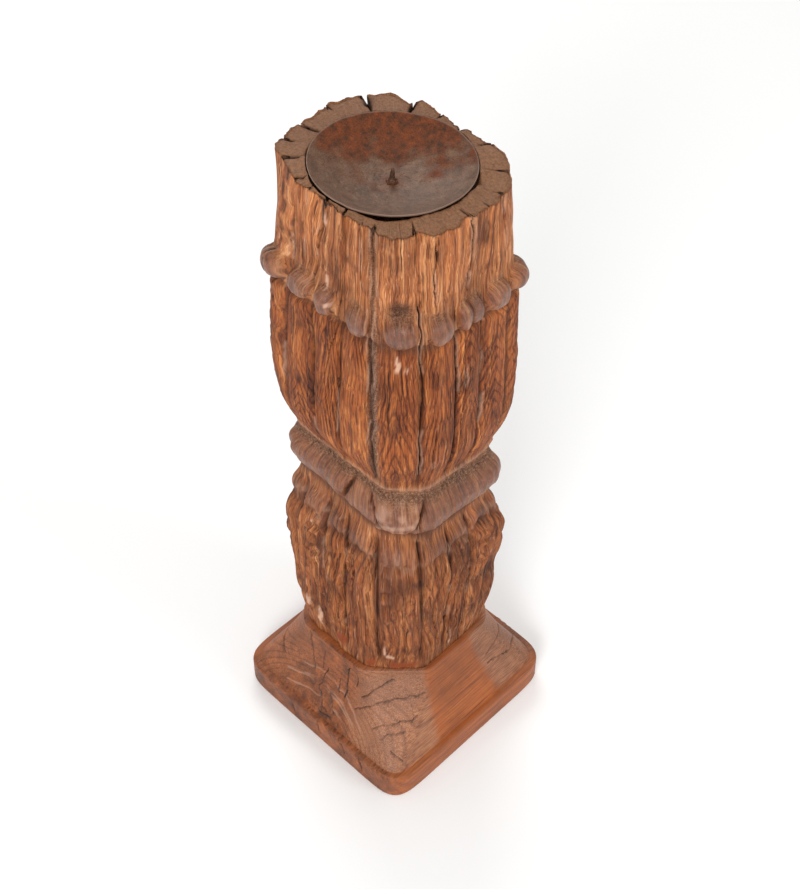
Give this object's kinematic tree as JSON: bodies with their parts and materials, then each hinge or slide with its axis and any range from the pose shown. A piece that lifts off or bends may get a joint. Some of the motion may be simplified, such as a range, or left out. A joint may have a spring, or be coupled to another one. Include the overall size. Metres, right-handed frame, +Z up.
{
  "type": "wooden candlestick",
  "caption": "Weathered carved wooden post on a coved square plinth, with a lift-out iron dish and pricket for a pillar candle.",
  "frame": {"origin": "centre of the plinth's underside, on the surface that the candlestick stands on", "axes": "+Z up the post; X and Y square to the plinth's sides; the corner with the wide flat wedge is at (+X, -Y)"},
  "size_m": [0.206, 0.206, 0.6073],
  "materials": {
    "carved_wood": "weathered, waxed",
    "plinth_wood": "oiled, satin",
    "rusted_iron": "rusted, rubbed smooth",
    "zinc_steel": "zinc plated"
  },
  "bodies": {
    "stand": {"plinth": "plinth_wood", "pillar": "carved_wood", "base_screw_1": "zinc_steel", "base_screw_2": "zinc_steel", "base_screw_3": "zinc_steel", "base_screw_4": "zinc_steel", "base_washer_1": "zinc_steel", "base_washer_2": "zinc_steel", "base_washer_3": "zinc_steel", "base_washer_4": "zinc_steel"},
    "dish": {"candle_dish": "rusted_iron", "pricket": "rusted_iron"}
  },
  "joints": [
    {"name": "dish_lift", "type": "slide", "parent": "stand", "child": "dish", "axis": [0.0284, 0.0284, 0.9992], "range_m": [0, 0.06]}
  ]
}
